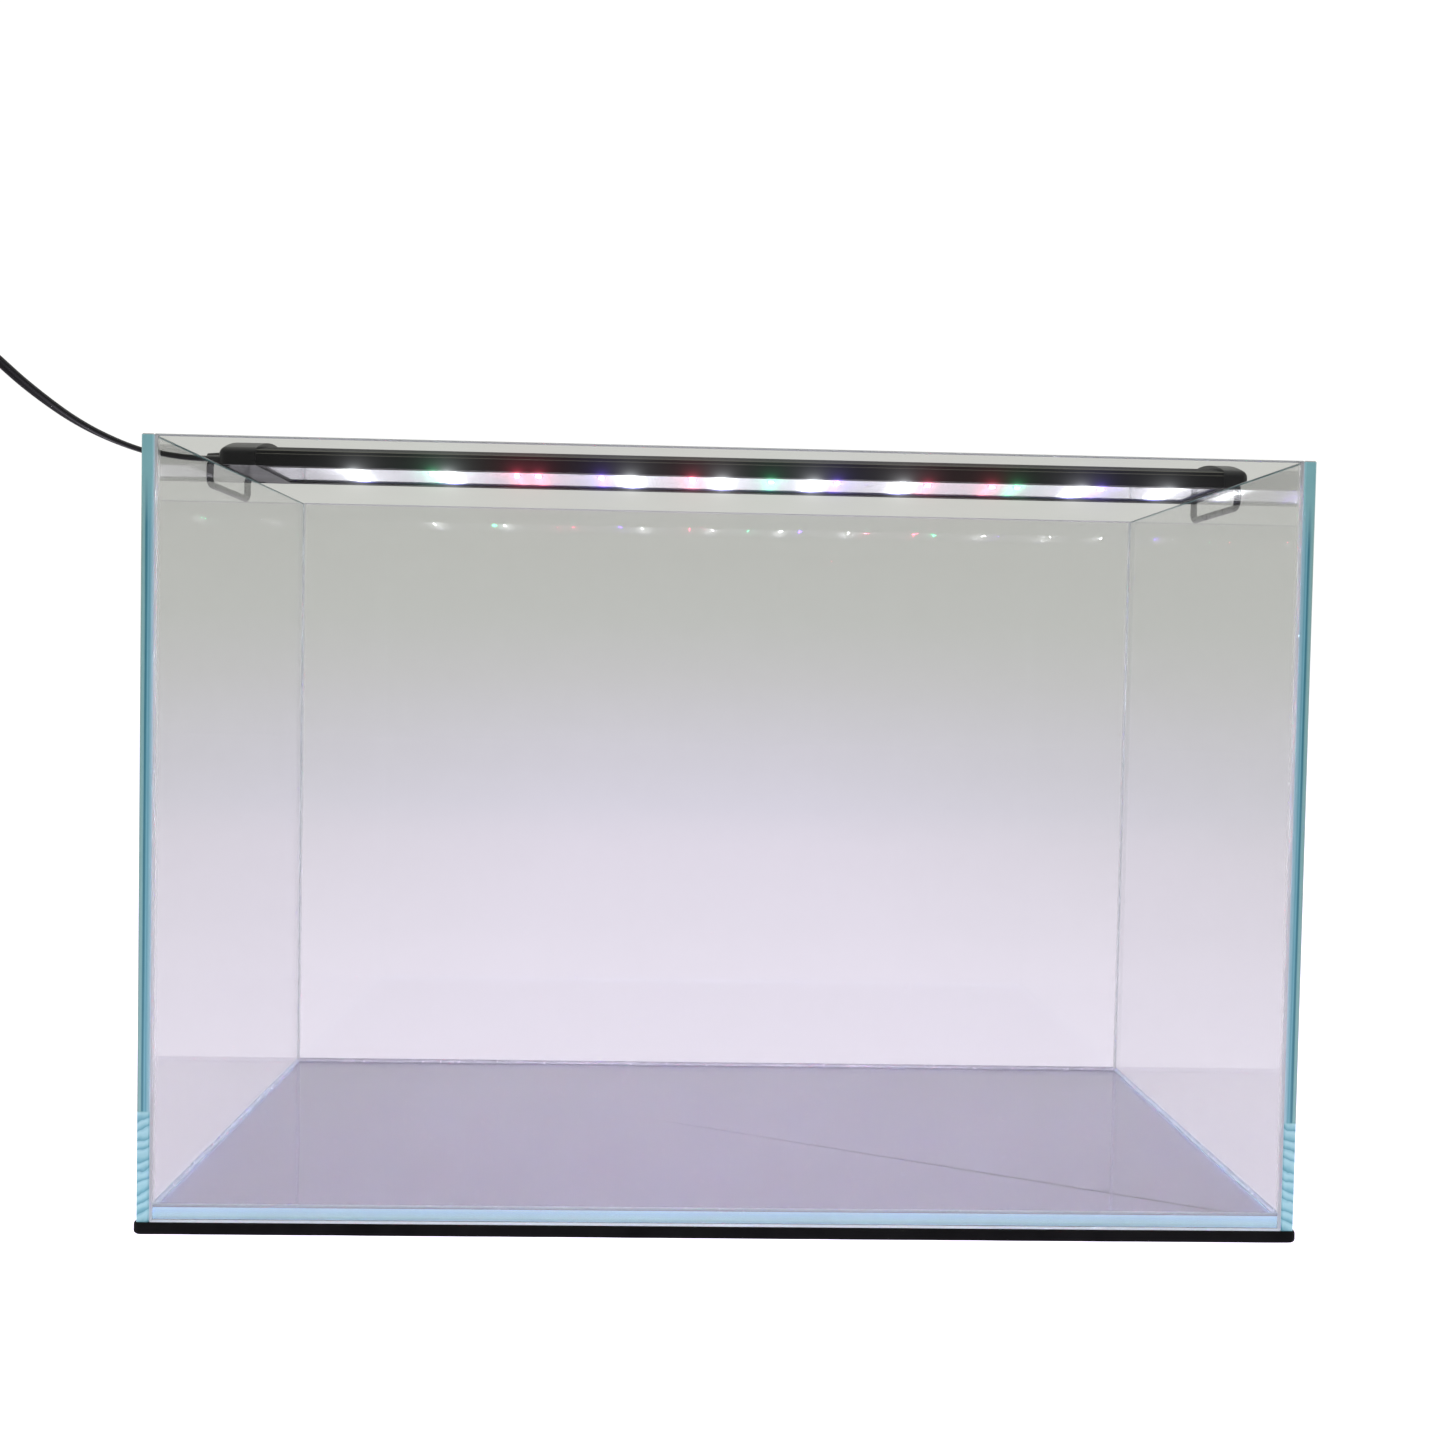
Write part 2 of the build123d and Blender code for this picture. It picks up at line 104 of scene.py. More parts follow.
def principled(nt, out=None, **sockets):
    p = nt.nodes.new("ShaderNodeBsdfPrincipled")
    for k, v in sockets.items():
        p.inputs[k.replace("_", " ")].default_value = v
    if out is not None:
        nt.links.new(p.outputs[0], out.inputs["Surface"])
    return p


def coords(nt, scale=(1, 1, 1), loc=(0, 0, 0)):
    tc = nt.nodes.new("ShaderNodeTexCoord")
    mp = nt.nodes.new("ShaderNodeMapping")
    mp.inputs["Scale"].default_value = scale
    mp.inputs["Location"].default_value = loc
    nt.links.new(tc.outputs["Object"], mp.inputs["Vector"])
    return mp.outputs["Vector"]


def noise(nt, vec, scale, detail=3.0, rough=0.55, distortion=0.0):
    n = nt.nodes.new("ShaderNodeTexNoise")
    n.inputs["Scale"].default_value = scale
    n.inputs["Detail"].default_value = detail
    n.inputs["Roughness"].default_value = rough
    n.inputs["Distortion"].default_value = distortion
    nt.links.new(vec, n.inputs["Vector"])
    return n.outputs["Fac"]


def ramp(nt, fac, stops, interp="LINEAR"):
    r = nt.nodes.new("ShaderNodeValToRGB")
    r.color_ramp.interpolation = interp
    e = r.color_ramp.elements
    while len(e) > len(stops):
        e.remove(e[-1])
    while len(e) < len(stops):
        e.new(0.5)
    for el, (pos, col) in zip(e, stops):
        el.position = pos
        el.color = (*col, 1) if len(col) == 3 else col
    nt.links.new(fac, r.inputs["Fac"])
    return r.outputs["Color"]


def maprange(nt, val, a, b, c, d):
    n = nt.nodes.new("ShaderNodeMapRange")
    n.inputs["From Min"].default_value = a
    n.inputs["From Max"].default_value = b
    n.inputs["To Min"].default_value = c
    n.inputs["To Max"].default_value = d
    nt.links.new(val, n.inputs["Value"])
    return n.outputs["Result"]


def math_node(nt, op, a, b=None):
    n = nt.nodes.new("ShaderNodeMath")
    n.operation = op
    for i, v in enumerate((a, b)):
        if v is None:
            continue
        if isinstance(v, (int, float)):
            n.inputs[i].default_value = v
        else:
            nt.links.new(v, n.inputs[i])
    return n.outputs[0]


def bump(nt, height, strength, dist, p, into=None):
    b = nt.nodes.new("ShaderNodeBump")
    b.inputs["Strength"].default_value = strength
    b.inputs["Distance"].default_value = dist
    nt.links.new(height, b.inputs["Height"])
    if into is not None:
        nt.links.new(into, b.inputs["Normal"])
    nt.links.new(b.outputs["Normal"], p.inputs["Normal"])
    return b.outputs["Normal"]


# ------------------------------------------------------------------ materials


def lets_lamps_through(nt, out, p, tint):
    """Lamps shine straight through the surface: its shadow is only its tint."""
    tr = nt.nodes.new("ShaderNodeBsdfTransparent")
    tr.inputs["Color"].default_value = (*tint, 1)
    lp = nt.nodes.new("ShaderNodeLightPath")
    mix = nt.nodes.new("ShaderNodeMixShader")
    nt.links.new(lp.outputs["Is Shadow Ray"], mix.inputs[0])
    nt.links.new(p.outputs[0], mix.inputs[1])
    nt.links.new(tr.outputs[0], mix.inputs[2])
    nt.links.new(mix.outputs[0], out.inputs["Surface"])


def clear_material(name, tint, ior=1.49):
    mat, nt, out = new_mat(name)
    p = principled(nt, Base_Color=(*tint, 1), Roughness=0.0, IOR=ior)
    p.inputs["Transmission Weight"].default_value = 1.0
    lets_lamps_through(nt, out, p, tuple(c ** 0.5 for c in tint))
    return mat, nt, p


def mix_col(nt, fac, a, b, kind="MIX"):
    n = nt.nodes.new("ShaderNodeMix")
    n.data_type = "RGBA"
    n.blend_type = kind
    for key, v in (("Factor", fac), ("A", a), ("B", b)):
        sock = [i for i in n.inputs if i.name == key and (key == "Factor" or i.type == "RGBA")][0]
        if isinstance(v, (int, float)):
            sock.default_value = v
        elif isinstance(v, tuple):
            sock.default_value = (*v, 1)
        else:
            nt.links.new(v, sock)
    return [o for o in n.outputs if o.type == "RGBA"][0]


# ground ends of the panes, across the thickness: grey at the arris, light, a dark core, light again; the teal is the
# glass's body colour, the light and dark bands are painted refraction and highlights
STRIPES = [(0.00, (0.16, 0.25, 0.22)), (0.10, (0.17, 0.31, 0.28)), (0.20, (0.20, 0.38, 0.36)), (0.32, (0.17, 0.36, 0.36)),
           (0.40, (0.025, 0.15, 0.19)), (0.50, (0.025, 0.16, 0.205)), (0.60, (0.15, 0.38, 0.43)), (0.70, (0.08, 0.27, 0.33)),
           (0.82, (0.18, 0.37, 0.41)), (0.93, (0.24, 0.42, 0.47)), (1.0, (0.42, 0.58, 0.63))]
PLAIN = [(0.0, (0.15, 0.29, 0.28)), (0.10, (0.17, 0.37, 0.37)), (0.8, (0.17, 0.38, 0.385)), (0.92, (0.22, 0.45, 0.46)),
         (1.0, (0.46, 0.60, 0.63))]


def pane_material(name, face_axis, tint, painted_end_gain=1.0, hatch=False, end_colour=(0.6, 0.6, 0.6), end_body=0.12):
    """Float glass: clear on its two faces, ground and satin on its ends, where its body colour shows with painted
    bands of light and shade.
    """
    mat, nt, out = new_mat(name)
    p = principled(nt, Roughness=0.0, IOR=1.5)
    geo = nt.nodes.new("ShaderNodeNewGeometry")
    tc = nt.nodes.new("ShaderNodeTexCoord")
    sn = nt.nodes.new("ShaderNodeSeparateXYZ")
    nt.links.new(geo.outputs["True Normal"], sn.inputs[0])
    sp = nt.nodes.new("ShaderNodeSeparateXYZ")
    nt.links.new(tc.outputs["Object"], sp.inputs[0])
    edge = math_node(nt, "LESS_THAN", math_node(nt, "ABSOLUTE", sn.outputs[face_axis]), 0.85)
    # across the thickness: 0 at the outer face, 1 at the inner face
    off = {"X": (0.300, 0.29365), "Y": (0.150, 0.14365)}.get(face_axis)
    if off:
        across = maprange(nt, math_node(nt, "ABSOLUTE", sp.outputs[face_axis]), off[0], off[1], 0.0, 1.0)
    else:
        across = maprange(nt, sp.outputs["Z"], 0.006, 0.01235, 0.0, 1.0)
    v = coords(nt, scale={"X": (900, 6, 6), "Y": (6, 900, 6), "Z": (6, 6, 900)}[face_axis])
    drawn = noise(nt, v, 1.0, 2.0, 0.6)
    wob = math_node(nt, "ADD", across, maprange(nt, drawn, 0.3, 0.7, -0.035, 0.035))
    striped, plain = ramp(nt, wob, STRIPES), ramp(nt, wob, PLAIN)
    if face_axis == "Z":
        # the floor pane's ends: blue body colour, with paler painted highlights at both faces
        blue = ramp(nt, wob, [(0.0, (0.50, 0.66, 0.86)), (0.10, (0.40, 0.60, 0.72)), (0.22, (0.36, 0.56, 0.64)),
                              (0.30, (0.42, 0.62, 0.72)), (0.7, (0.40, 0.60, 0.77)), (1.0, (0.52, 0.68, 0.86))])
        # the end under the back pane is painted a dull lavender grey instead of the blue, a painted shade under the
        # back pane
        col = mix_col(nt, math_node(nt, "GREATER_THAN", sp.outputs["Y"], 0.13), blue, (0.17, 0.165, 0.20))
    else:
        top = maprange(nt, sp.outputs["Z"], 0.362, 0.388, 0.0, 1.0)
        col = mix_col(nt, top, striped, plain)
    rough = maprange(nt, noise(nt, coords(nt), 260.0, 3.0), 0.3, 0.7, 0.28, 0.5)
    if hatch:
        # the end was dressed by hand near the foot: slanting chatter marks
        sh = nt.nodes.new("ShaderNodeCombineXYZ")
        ax_ = math_node(nt, "MULTIPLY", math_node(nt, "ABSOLUTE", sp.outputs["X"]), 0.42)
        zz = math_node(nt, "ADD", sp.outputs["Z"], ax_)
        nt.links.new(zz, sh.inputs["Z"])
        nt.links.new(sp.outputs["X"], sh.inputs["X"])
        wv = nt.nodes.new("ShaderNodeTexWave")
        wv.wave_type, wv.bands_direction, wv.wave_profile = "BANDS", "Z", "SAW"
        wv.inputs["Scale"].default_value = 58.0
        wv.inputs["Distortion"].default_value = 3.2
        wv.inputs["Detail"].default_value = 2.0
        wv.inputs["Detail Scale"].default_value = 2.2
        nt.links.new(sh.outputs[0], wv.inputs["Vector"])
        marks = ramp(nt, wv.outputs["Fac"], [(0.0, (0.075, 0.26, 0.31)), (0.20, (0.15, 0.38, 0.43)), (0.42, (0.25, 0.49, 0.52)),
                                             (0.75, (0.32, 0.56, 0.59)), (1.0, (0.19, 0.43, 0.48))])
        low = maprange(nt, sp.outputs["Z"], 0.0635, 0.0625, 0.0, 1.0)
        col = mix_col(nt, low, col, marks)
        hb = math_node(nt, "MULTIPLY", wv.outputs["Fac"], low)
        hb = math_node(nt, "MULTIPLY", hb, edge)
        bump(nt, hb, 0.8, 0.0006, p)
    else:
        hb = math_node(nt, "MULTIPLY", noise(nt, coords(nt), 600.0, 2.0), edge)
        bump(nt, hb, 0.15, 0.0001, p)
    # painted light: the end colours are brightened by this gain, above white on the floor pane
    if painted_end_gain != 1.0:
        col = mix_col(nt, 1.0, col, (painted_end_gain,) * 3, "MULTIPLY")
    # the rim is polished; its top face is painted a flat grey, paler and greyer than the ends, a painted reflection
    # standing in for its shine
    rim = math_node(nt, "MULTIPLY", math_node(nt, "GREATER_THAN", sn.outputs["Z"], 0.5),
                    math_node(nt, "GREATER_THAN", sp.outputs["Z"], 0.39))
    col = mix_col(nt, rim, col, (0.225, 0.245, 0.235))
    body = maprange(nt, edge, 0.0, 1.0, 1.0, end_body)
    satin = math_node(nt, "MULTIPLY", edge, rough)
    if face_axis == "Y":
        # the ends are bonded over their whole face; their pale colour is a painted highlight along the joint
        col = mix_col(nt, math_node(nt, "SUBTRACT", 1.0, rim), col, end_colour)
    if face_axis == "X":
        # the ends at the back of the tank are painted pale grey and let more light through, standing in for the lit
        # backdrop seen through them
        rear = math_node(nt, "MULTIPLY", math_node(nt, "GREATER_THAN", sp.outputs["Y"], 0.139), edge)
        rear = math_node(nt, "MULTIPLY", rear, math_node(nt, "LESS_THAN", sp.outputs["Z"], 0.4075))
        col = mix_col(nt, rear, col, (0.92, 0.92, 0.94))
        body = math_node(nt, "ADD", body, math_node(nt, "MULTIPLY", rear, 0.78))
    nt.links.new(mix_col(nt, edge, tint, col), p.inputs["Base Color"])
    nt.links.new(body, p.inputs["Transmission Weight"])
    nt.links.new(satin, p.inputs["Roughness"])
    lets_lamps_through(nt, out, p, tuple(c ** 0.5 for c in tint))
    return mat


# the grey tints of the front and side panes are darker than clear glass: a painted shade over what is seen inside the
# tank
TINT = (0.80, 0.805, 0.80)
M_GLASS = pane_material("glass", "Y", (0.84, 0.845, 0.84), 1.0, False, (0.94, 0.94, 0.95), 0.9)
M_GLASS_FRONT = pane_material("glass_front", "Y", (0.635, 0.64, 0.615), 1.0, False, (0.72, 0.75, 0.77))
M_GLASS_SIDE = pane_material("glass_side", "X", TINT, 1.15, True)
M_GLASS_FLOOR = pane_material("glass_floor", "Z", (0.93, 0.94, 0.95), 2.8)
M_SILICONE, nt, out = new_mat("silicone")
p = principled(nt, Base_Color=(0.955, 0.96, 0.965, 1), Roughness=0.3, IOR=1.12)
v = coords(nt)
nt.links.new(maprange(nt, noise(nt, v, 120.0, 3.0), 0.3, 0.7, 0.92, 0.98), p.inputs["Transmission Weight"])
nt.links.new(maprange(nt, noise(nt, v, 300.0, 3.0), 0.3, 0.7, 0.25, 0.45), p.inputs["Roughness"])
bump(nt, noise(nt, v, 160.0, 2.0), 0.25, 0.0003, p)
lets_lamps_through(nt, out, p, (0.93, 0.96, 0.98))
thin = nt.nodes.new("ShaderNodeBsdfTransparent")
film = nt.nodes.new("ShaderNodeMixShader")
film.inputs[0].default_value = 0.72
body_of = [l.from_socket for l in nt.links if l.to_node == out][0]
nt.links.new(body_of, film.inputs[1])
nt.links.new(thin.outputs[0], film.inputs[2])
nt.links.new(film.outputs[0], out.inputs["Surface"])


M_BEAD, nt, out = new_mat("silicone_bead")
p = principled(nt, Base_Color=(0.66, 0.73, 0.84, 1), Roughness=0.25, IOR=1.43)
v = coords(nt)
bead_tc = nt.nodes.new("ShaderNodeTexCoord")
bead_sep = nt.nodes.new("ShaderNodeSeparateXYZ")
nt.links.new(bead_tc.outputs["Object"], bead_sep.inputs[0])
# a greyer lavender tone at the back; a paler, less clear tone at the front
at_back = math_node(nt, "GREATER_THAN", bead_sep.outputs["Y"], 0.1412)
at_front = math_node(nt, "LESS_THAN", bead_sep.outputs["Y"], -0.1412)
tone = mix_col(nt, at_back, (0.66, 0.73, 0.84), (0.60, 0.585, 0.68))
tone = mix_col(nt, at_front, tone, (0.80, 0.86, 0.95))
nt.links.new(tone, p.inputs["Base Color"])
clear_ = maprange(nt, noise(nt, v, 120.0, 3.0), 0.3, 0.7, 0.35, 0.60)
clear_ = math_node(nt, "MULTIPLY", clear_, maprange(nt, at_front, 0.0, 1.0, 1.0, 0.35))
nt.links.new(clear_, p.inputs["Transmission Weight"])
nt.links.new(maprange(nt, noise(nt, v, 300.0, 3.0), 0.3, 0.7, 0.12, 0.3), p.inputs["Roughness"])
bump(nt, noise(nt, v, 160.0, 2.0), 0.25, 0.0003, p)
lets_lamps_through(nt, out, p, (0.85, 0.9, 0.97))
M_BOND, nt, out = new_mat("silicone_bond")
p = principled(nt, Base_Color=(0.62, 0.70, 0.74, 1), Roughness=0.4, IOR=1.43)
v = coords(nt)
nt.links.new(maprange(nt, noise(nt, v, 300.0, 3.0), 0.3, 0.7, 0.10, 0.35), p.inputs["Transmission Weight"])
nt.links.new(ramp(nt, noise(nt, v, 60.0, 4.0), [(0.3, (0.56, 0.66, 0.70)), (0.7, (0.66, 0.73, 0.77))]), p.inputs["Base Color"])
lets_lamps_through(nt, out, p, (0.85, 0.9, 0.9))


def plastic(name, colour, rough, grain=900.0, depth=0.00006, spec=0.5, speck=None):
    """Moulded plastic: fine spark-eroded grain, a little uneven gloss."""
    mat, nt, out = new_mat(name)
    p = principled(nt, out, Base_Color=(*colour, 1), Roughness=rough)
    p.inputs["Specular IOR Level"].default_value = spec
    v = coords(nt)
    big = noise(nt, v, 18.0, 4.0)
    nt.links.new(maprange(nt, big, 0.3, 0.7, max(0.05, rough - 0.07), rough + 0.07), p.inputs["Roughness"])
    lo = tuple(c * 0.8 for c in colour)
    hi = tuple(min(1.0, c * 1.25 + 0.002) for c in colour)
    nt.links.new(ramp(nt, big, [(0.3, lo), (0.7, hi)]), p.inputs["Base Color"])
    fine = noise(nt, v, grain, 2.0)
    bump(nt, fine, 0.35, depth, p)
    return mat


M_CAP = plastic("cap_plastic", (0.0025, 0.0025, 0.0027), 0.3, 1600.0, 0.00003, 0.22)
M_RUBBER = plastic("black_rubber", (0.008, 0.008, 0.008), 0.55, 1200.0, 0.00004, 0.35)
M_NYLON = plastic("black_nylon", (0.03, 0.03, 0.03), 0.5)
M_ADAPTER = plastic("adapter_plastic", (0.018, 0.018, 0.019), 0.48, 2400.0, 0.00009)
M_BOARD = plastic("board_white", (0.80, 0.81, 0.82), 0.42, 700.0, 0.00002)
M_PCB = plastic("board_green", (0.03, 0.17, 0.07), 0.4, 700.0, 0.00002)
M_SLEEVE = plastic("wire_sleeve", (0.30, 0.02, 0.02), 0.45)

# black anodised extrusion: drawn lines along X, and thin painted highlights on the lips of the grooves
M_ANOD, nt, out = new_mat("anodised")
p = principled(nt, out, Base_Color=(0.006, 0.006, 0.0065, 1), Roughness=0.3, Metallic=0.0, IOR=1.28)
p.inputs["Specular IOR Level"].default_value = 0.16
v = coords(nt, scale=(4.0, 900.0, 900.0))
lines = noise(nt, v, 1.6, 3.0, 0.6)
sep = nt.nodes.new("ShaderNodeSeparateXYZ")
tc = nt.nodes.new("ShaderNodeTexCoord")
nt.links.new(tc.outputs["Object"], sep.inputs[0])
painted_groove_highlight = None
# painted highlight: two thin light olive lines along the groove lips on the flanks stand in for the glint of light
# there
for zc, half in ((0.408 + 0.00905, 0.00022), (0.408 + 0.00700, 0.00020)):
    d = math_node(nt, "ABSOLUTE", math_node(nt, "SUBTRACT", sep.outputs["Z"], zc))
    m_ = maprange(nt, d, half * 0.6, half * 1.5, 1.0, 0.0)
    painted_groove_highlight = m_ if painted_groove_highlight is None else math_node(nt, "MAXIMUM", painted_groove_highlight, m_)
flank = math_node(nt, "GREATER_THAN", math_node(nt, "ABSOLUTE", sep.outputs["Y"]), 0.0375)
painted_groove_highlight = math_node(nt, "MULTIPLY", painted_groove_highlight, flank)
painted_groove_highlight = math_node(nt, "MULTIPLY", painted_groove_highlight, maprange(nt, lines, 0.3, 0.6, 0.6, 1.0))
dark = ramp(nt, lines, [(0.35, (0.0015, 0.0015, 0.0018)), (0.65, (0.0045, 0.0045, 0.005))])
nt.links.new(mix_col(nt, painted_groove_highlight, dark, (0.14, 0.14, 0.115)), p.inputs["Base Color"])
nt.links.new(maprange(nt, lines, 0.3, 0.7, 0.36, 0.52), p.inputs["Roughness"])
bump(nt, lines, 0.25, 0.00003, p)

# black coated wire
M_WIRE, nt, out = new_mat("black_wire")
p = principled(nt, out, Base_Color=(0.006, 0.006, 0.0066, 1), Roughness=0.3)
v = coords(nt)
orange = noise(nt, v, 900.0, 2.0)
nt.links.new(maprange(nt, noise(nt, v, 60.0), 0.3, 0.7, 0.24, 0.40), p.inputs["Roughness"])
bump(nt, orange, 0.25, 0.00004, p)

# foam mat: closed-cell skin at the cut edge; under the glass its black is painted an even, lighter lavender, a painted
# glow of the bar's light on it
M_FOAM, nt, out = new_mat("foam")
p = principled(nt, out, Roughness=0.85)
p.inputs["Specular IOR Level"].default_value = 0.08
v = coords(nt)
vor = nt.nodes.new("ShaderNodeTexVoronoi")
vor.inputs["Scale"].default_value = 1400.0
nt.links.new(v, vor.inputs["Vector"])
cell = vor.outputs["Distance"]
mott = noise(nt, v, 55.0, 5.0)
dark = ramp(nt, mott, [(0.3, (0.0025, 0.0025, 0.0027)), (0.7, (0.006, 0.006, 0.0063))])
# painted light: the lavender tone the mat shows under the glass, lit by the bar
light = ramp(nt, mott, [(0.3, (0.34, 0.30, 0.44)), (0.7, (0.38, 0.34, 0.48))])
tc = nt.nodes.new("ShaderNodeTexCoord")
sep = nt.nodes.new("ShaderNodeSeparateXYZ")
nt.links.new(tc.outputs["Object"], sep.inputs[0])
ax = math_node(nt, "ABSOLUTE", sep.outputs["X"])
ay = math_node(nt, "ABSOLUTE", sep.outputs["Y"])
under_glass_painted_light = math_node(nt, "MULTIPLY", math_node(nt, "LESS_THAN", ax, 0.2931), math_node(nt, "LESS_THAN", ay, 0.1431))
under_glass_painted_light = math_node(nt, "MULTIPLY", under_glass_painted_light, math_node(nt, "GREATER_THAN", sep.outputs["Z"], 0.0058))
mixc = nt.nodes.new("ShaderNodeMix")
mixc.data_type = "RGBA"
nt.links.new(under_glass_painted_light, mixc.inputs["Factor"])
nt.links.new(dark, mixc.inputs["A"])
nt.links.new(light, mixc.inputs["B"])
nt.links.new(mixc.outputs["Result"], p.inputs["Base Color"])
bump(nt, cell, 0.5, 0.0002, p)

# plated screws
M_SCREW, nt, out = new_mat("screw_steel")
p = principled(nt, out, Base_Color=(0.60, 0.60, 0.62, 1), Metallic=1.0, Roughness=0.3)
v = coords(nt, scale=(200, 900, 900))
nt.links.new(maprange(nt, noise(nt, v, 2.0), 0.3, 0.7, 0.2, 0.42), p.inputs["Roughness"])
M_BLADE, nt, out = new_mat("plated_brass")
p = principled(nt, out, Base_Color=(0.72, 0.70, 0.66, 1), Metallic=1.0, Roughness=0.25)
v = coords(nt, scale=(900, 20, 900))
nt.links.new(maprange(nt, noise(nt, v, 2.0), 0.3, 0.7, 0.16, 0.36), p.inputs["Roughness"])

WHITE_AT = (-227.0, -170.6, -59.0, -2.8, 53.5, 109.0, 218.6, 273.0)
RED_AT = (-128.0, -114.8, -21.2, 123.4, 163.1)
GREEN_AT = (-179.2, 27.2, 178.6)
BLUE_AT = (-76.6, 67.7, 230.4)
# colour, strength, reach, places: a wide wash and a hot spot for each
LED_ROWS = (
    ((0.86, 0.90, 1.0), 0.80, 0.036, WHITE_AT), ((0.93, 0.95, 1.0), 14.0, 0.0112, WHITE_AT),
    ((1.0, 0.10, 0.34), 0.50, 0.030, RED_AT), ((1.0, 0.12, 0.22), 3.5, 0.0080, RED_AT),
    ((0.05, 0.95, 0.66), 0.40, 0.022, GREEN_AT), ((0.03, 1.0, 0.50), 2.5, 0.0075, GREEN_AT),
    ((0.22, 0.10, 1.0), 0.60, 0.026, BLUE_AT), ((0.25, 0.06, 1.0), 3.5, 0.0080, BLUE_AT),
)


def led_wash(nt, x):
    """What the lit LEDs beside each place scatter onto it: every LED adds its colour, fading along the bar."""
    total = None
    for colour, power, reach, places in LED_ROWS:
        row = None
        for place in places:
            d = math_node(nt, "DIVIDE", math_node(nt, "ABSOLUTE", math_node(nt, "SUBTRACT", x, place / 1000.0)), reach)
            g = math_node(nt, "POWER", math_node(nt, "MAXIMUM", math_node(nt, "SUBTRACT", 1.0, d), 0.0), 2.0)
            row = g if row is None else math_node(nt, "ADD", row, g)
        part = mix_col(nt, 1.0, tuple(c * power for c in colour), row, "MULTIPLY")
        total = part if total is None else mix_col(nt, 1.0, total, part, "ADD")
    return total


# white reflector; the LEDs' light on it and an even lavender glow are painted in as emission
M_WHITE, nt, out = new_mat("white_plastic")
p = principled(nt, out, Base_Color=(0.86, 0.87, 0.90, 1), Roughness=0.3)
wash_tc = nt.nodes.new("ShaderNodeTexCoord")
wash_sep = nt.nodes.new("ShaderNodeSeparateXYZ")
nt.links.new(wash_tc.outputs["Object"], wash_sep.inputs[0])
# lit from the first LED on: the last stretch at the left end stays dim
lit_from = maprange(nt, wash_sep.outputs["X"], -0.262, -0.235, 0.10, 1.0)
# painted light: the LEDs' coloured glow along the bar plus an even lavender glow, put in as emission
wash = mix_col(nt, 1.0, led_wash(nt, wash_sep.outputs["X"]), (0.42, 0.40, 0.46), "ADD")
wash = mix_col(nt, 1.0, wash, lit_from, "MULTIPLY")
nt.links.new(wash, p.inputs["Emission Color"])
p.inputs["Emission Strength"].default_value = 1.5
v = coords(nt)
nt.links.new(maprange(nt, noise(nt, v, 40.0, 4.0), 0.3, 0.7, 0.22, 0.4), p.inputs["Roughness"])
nt.links.new(ramp(nt, noise(nt, v, 25.0, 4.0), [(0.3, (0.80, 0.81, 0.84)), (0.7, (0.89, 0.90, 0.92))]), p.inputs["Base Color"])
bump(nt, noise(nt, v, 700.0, 2.0), 0.2, 0.00003, p)

# the lens's black frame: its inner lip catches the LEDs' light, mostly the blue
M_GASKET = plastic("gasket_rubber", (0.006, 0.006, 0.007), 0.4, 1200.0, 0.00003, 0.3)
nt = M_GASKET.node_tree
p = [n for n in nt.nodes if n.type == "BSDF_PRINCIPLED"][0]
lip_tc = nt.nodes.new("ShaderNodeTexCoord")
lip_sep = nt.nodes.new("ShaderNodeSeparateXYZ")
nt.links.new(lip_tc.outputs["Object"], lip_sep.inputs[0])
lip = mix_col(nt, 1.0, led_wash(nt, lip_sep.outputs["X"]), (0.035, 0.035, 0.13), "MULTIPLY")
lip = mix_col(nt, 1.0, lip, (0.004, 0.003, 0.03), "ADD")
lip = mix_col(nt, 1.0, lip, maprange(nt, lip_sep.outputs["X"], -0.262, -0.225, 0.0, 1.0), "MULTIPLY")
nt.links.new(lip, p.inputs["Emission Color"])
p.inputs["Emission Strength"].default_value = 1.0

# clear acrylic cover
M_LENS, nt, p = clear_material("clear_acrylic", (0.97, 0.975, 0.98))
bump(nt, noise(nt, coords(nt, scale=(3, 900, 900)), 1.0, 2.0), 0.12, 0.00002, p)


def led_material(name, colour, power, body):
    """A lit LED: bright dome, pale package round it."""
    mat, nt, out = new_mat(name)
    p = principled(nt, out, Base_Color=(*body, 1), Roughness=0.25)
    tc = nt.nodes.new("ShaderNodeTexCoord")
    sep = nt.nodes.new("ShaderNodeSeparateXYZ")
    nt.links.new(tc.outputs["Object"], sep.inputs[0])
    dome = math_node(nt, "LESS_THAN", sep.outputs["Z"], 0.408 + 0.0038 - 0.00005)
    em = math_node(nt, "MULTIPLY", dome, power)
    p.inputs["Emission Color"].default_value = (*colour, 1)
    nt.links.new(em, p.inputs["Emission Strength"])
    return mat


M_LW = led_material("led_white", (0.88, 0.92, 1.0), 1500.0, (0.9, 0.9, 0.85))
M_LR = led_material("led_red", (1.0, 0.04, 0.13), 420.0, (0.8, 0.5, 0.5))
M_LG = led_material("led_green", (0.02, 1.0, 0.35), 240.0, (0.5, 0.8, 0.6))
M_LB = led_material("led_blue", (0.16, 0.05, 1.0), 520.0, (0.5, 0.5, 0.85))

# flat twin cord
M_CORD, nt, out = new_mat("cord_pvc")
p = principled(nt, out, Base_Color=(0.012, 0.012, 0.0125, 1), Roughness=0.42)
p.inputs["Specular IOR Level"].default_value = 0.25
v = coords(nt)
nt.links.new(maprange(nt, noise(nt, v, 90.0, 3.0), 0.3, 0.7, 0.34, 0.52), p.inputs["Roughness"])
nt.links.new(ramp(nt, noise(nt, v, 30.0, 3.0), [(0.3, (0.004, 0.004, 0.0043)), (0.7, (0.009, 0.009, 0.0095))]), p.inputs["Base Color"])
bump(nt, noise(nt, v, 1500.0, 2.0), 0.2, 0.00003, p)


def paint(name, mat):
    o = N[name]
    if not o.material_slots:
        o.data.materials.append(mat)
    for s in o.material_slots:
        s.material = mat
    return o


